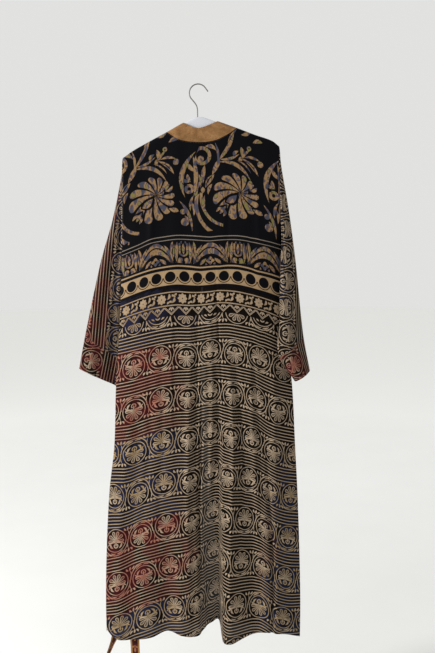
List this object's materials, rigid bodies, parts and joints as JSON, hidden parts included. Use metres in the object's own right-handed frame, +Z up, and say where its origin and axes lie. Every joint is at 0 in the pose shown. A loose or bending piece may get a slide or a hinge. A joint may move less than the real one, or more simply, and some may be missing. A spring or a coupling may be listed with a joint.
{
  "type": "kimono robe on a clothes hanger",
  "caption": "Ankle-length open-front kimono robe in thin printed silk, hanging flat on a white hanger with its belt drawn through a side loop.",
  "frame": {"origin": "underside of the top of the hanger's hook, where a rail carries it", "axes": "+Z up, +X towards the wearer's right sleeve, +Y from the garment's back towards its open front"},
  "size_m": [0.63, 0.1024, 1.6696],
  "materials": {
    "silk_print": "thin brown-black silk block-printed in tan rows, with dull red and blue tints",
    "silk_band": "mottled ochre silk",
    "silk_belt": "dark red-brown printed silk with an ochre edge",
    "hanger_white": "white, satin",
    "hook_wire": "bright bent wire"
  },
  "bodies": {
    "root": {"back": "silk_print", "front_left": "silk_print", "front_right": "silk_print", "sleeve_left": "silk_print", "sleeve_right": "silk_print", "cuff_left": "silk_print", "cuff_right": "silk_print", "neck_band": "silk_band", "belt": "silk_belt", "loop_left": "silk_print", "loop_right": "silk_print", "hanger_bar": "hanger_white", "hook": "hook_wire"}
  },
  "joints": []
}
